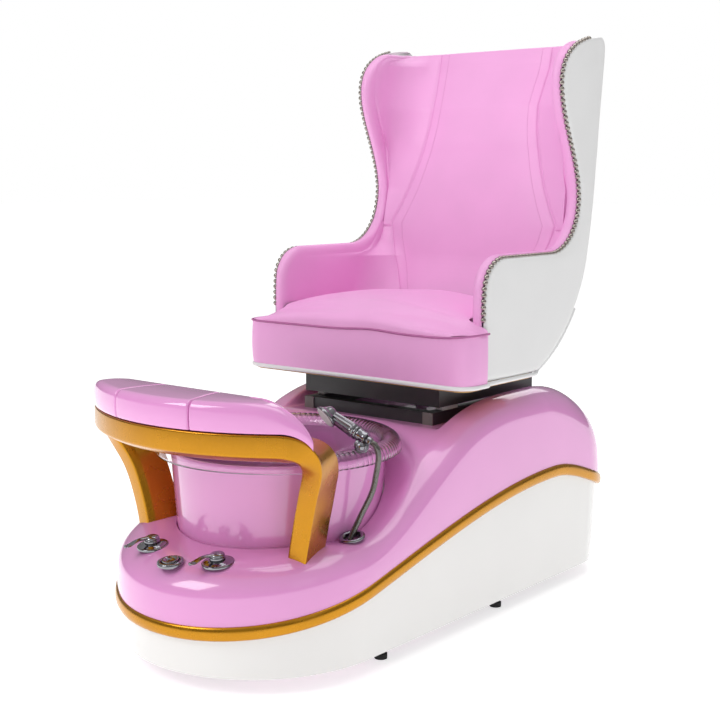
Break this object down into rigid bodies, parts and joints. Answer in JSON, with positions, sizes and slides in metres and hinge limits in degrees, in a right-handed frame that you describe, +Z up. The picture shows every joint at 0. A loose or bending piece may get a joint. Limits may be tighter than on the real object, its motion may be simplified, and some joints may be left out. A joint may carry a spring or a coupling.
{
  "type": "pedicure spa chair",
  "caption": "Salon pedicure chair: sliding wingback seat on a moulded base with a round foot basin, arched footrest, water levers and a hand shower.",
  "frame": {"origin": "centre of the footprint, on the floor", "axes": "-Y is the way the sitter faces, +X is the sitter's left, +Z is up"},
  "size_m": [0.71, 1.474, 1.45],
  "materials": {
    "pink_gelcoat": "glossy pink gel-coat",
    "pink_vinyl": "smooth pink upholstery vinyl",
    "white_vinyl": "smooth white upholstery vinyl",
    "white_gelcoat": "glossy white gel-coat",
    "gold_paint": "satin metallic gold lacquer",
    "clear_acrylic": "clear cast acrylic",
    "chrome": "polished chrome",
    "braid": "braided stainless sleeve",
    "black_steel": "black powder coat",
    "rubber": "black rubber",
    "white_plastic": "white ABS",
    "grey_plastic": "grey moulded plastic",
    "black_plastic": "black moulded plastic",
    "steel": "zinc-plated steel",
    "brass": "machined brass",
    "plywood": "birch plywood",
    "antique_nail": "antique nickel"
  },
  "bodies": {
    "base": {"base_skirt": "white_gelcoat", "rear_access_panel": "white_gelcoat", "chassis_frame": "black_steel", "leveling_feet": "rubber", "equipment_tray": "steel", "trim_band": "gold_paint", "top_shell": "pink_gelcoat", "basin_drum": "pink_gelcoat", "basin_bowl": "clear_acrylic", "drain_flange": "chrome", "drain_pipe": "grey_plastic", "jet_housing": "white_plastic", "jet_cover": "white_plastic", "jet_motor": "black_plastic", "footrest_frame": "gold_paint", "footrest_pad_left": "pink_gelcoat", "footrest_pad_center": "pink_gelcoat", "footrest_pad_right": "pink_gelcoat", "footrest_bolts": "steel", "hot_escutcheon": "chrome", "cold_escutcheon": "chrome", "hot_valve": "brass", "cold_valve": "brass", "button_bezel": "chrome", "air_switch": "black_plastic", "air_tube": "rubber", "hose_grommet": "chrome", "shower_hose": "braid", "shower_holder": "chrome", "mixed_water_line": "white_plastic", "supply_lines": "braid", "water_inlets": "brass", "control_box": "grey_plastic", "power_inlet": "black_plastic", "slide_rails": "black_steel", "rail_end_caps": "grey_plastic", "slide_actuator": "steel", "slide_motor": "black_plastic"},
    "seat": {"seat_carriage": "black_steel", "glide_blocks": "white_plastic", "actuator_rod": "chrome", "seat_board": "plywood", "bottom_piping": "white_vinyl", "seat_cushion": "pink_vinyl", "shell_side_left": "white_vinyl", "shell_side_right": "white_vinyl", "shell_back": "white_vinyl", "back_frame": "plywood", "arm_lining_left": "pink_vinyl", "arm_lining_right": "pink_vinyl", "back_cushion": "pink_vinyl", "nail_trim_left": "antique_nail", "nail_trim_right": "antique_nail"},
    "hot_lever": {"hot_lever": "chrome"},
    "cold_lever": {"cold_lever": "chrome"},
    "jet_button": {"jet_button": "chrome"},
    "stopper": {"drain_stopper": "chrome"},
    "impeller": {"jet_impeller": "steel"},
    "hand_shower": {"shower_handle": "chrome", "shower_face": "white_plastic"}
  },
  "joints": [
    {"name": "seat_slide", "type": "slide", "parent": "base", "child": "seat", "axis": [0, -1, 0], "range_m": [-0.06, 0.1]},
    {"name": "hot_lever_turn", "type": "hinge", "parent": "base", "child": "hot_lever", "pos_m": [0.103, -0.637, 0.27523], "axis": [0, -0.1392, 0.9903], "range_deg": [0, 90]},
    {"name": "cold_lever_turn", "type": "hinge", "parent": "base", "child": "cold_lever", "pos_m": [-0.103, -0.637, 0.27523], "axis": [0, -0.1392, 0.9903], "range_deg": [-90, 0]},
    {"name": "jet_button_press", "type": "slide", "parent": "base", "child": "jet_button", "axis": [0, 0.1392, -0.9903], "range_m": [0, 0.004], "stiffness_N_per_m": 800, "springref_m": -0.002},
    {"name": "stopper_lift", "type": "slide", "parent": "base", "child": "stopper", "axis": [0, 0, 1], "range_m": [0, 0.008]},
    {"name": "impeller_spin", "type": "hinge", "parent": "base", "child": "impeller", "pos_m": [0, -0.278, 0.3], "axis": [0, 0, 1], "continuous": true},
    {"name": "hand_shower_lift", "type": "slide", "parent": "base", "child": "hand_shower", "axis": [-0.883, -0.158, 0.442], "range_m": [0, 0.12]}
  ]
}
